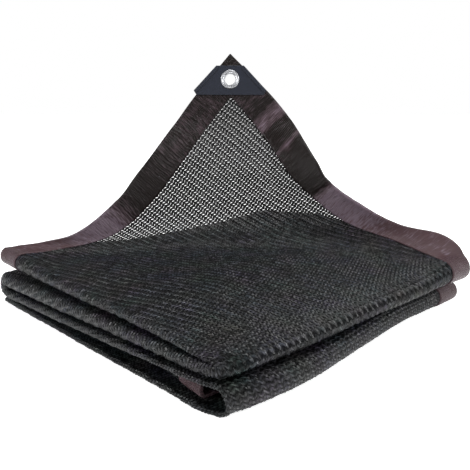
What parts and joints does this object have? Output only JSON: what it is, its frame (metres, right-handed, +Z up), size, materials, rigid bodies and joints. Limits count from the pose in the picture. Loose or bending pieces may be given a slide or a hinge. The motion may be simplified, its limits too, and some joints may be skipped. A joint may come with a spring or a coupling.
{
  "type": "folded shade cloth",
  "caption": "Knitted shade net with bound edges, folded into a square packet, one corner lifted on its eyelet clip.",
  "frame": {"origin": "on the floor plane, under the middle of the whole object's box", "axes": "+Z up; +Y from the front corner of the packet to its back corner; +X to the right corner; the lifted corner faces -Y"},
  "size_m": [0.5006, 0.4984, 0.2599],
  "materials": {
    "net": "black knitted polyethylene net, open between its yarns, soft sheen",
    "binding_tape": "dark brown woven polyethylene tape, creased, satin",
    "clip_plastic": "moulded blue-black plastic, fine grain, low sheen",
    "grommet_metal": "bright plated metal, rolled and pressed"
  },
  "bodies": {
    "root": {"net": "net", "binding_side_outer": "binding_tape", "binding_side_inner": "binding_tape", "binding_end_lifted": "binding_tape", "binding_end_tucked": "binding_tape", "clip_front": "clip_plastic", "clip_back": "clip_plastic", "grommet_eyelet": "grommet_metal", "grommet_washer": "grommet_metal"}
  },
  "joints": []
}
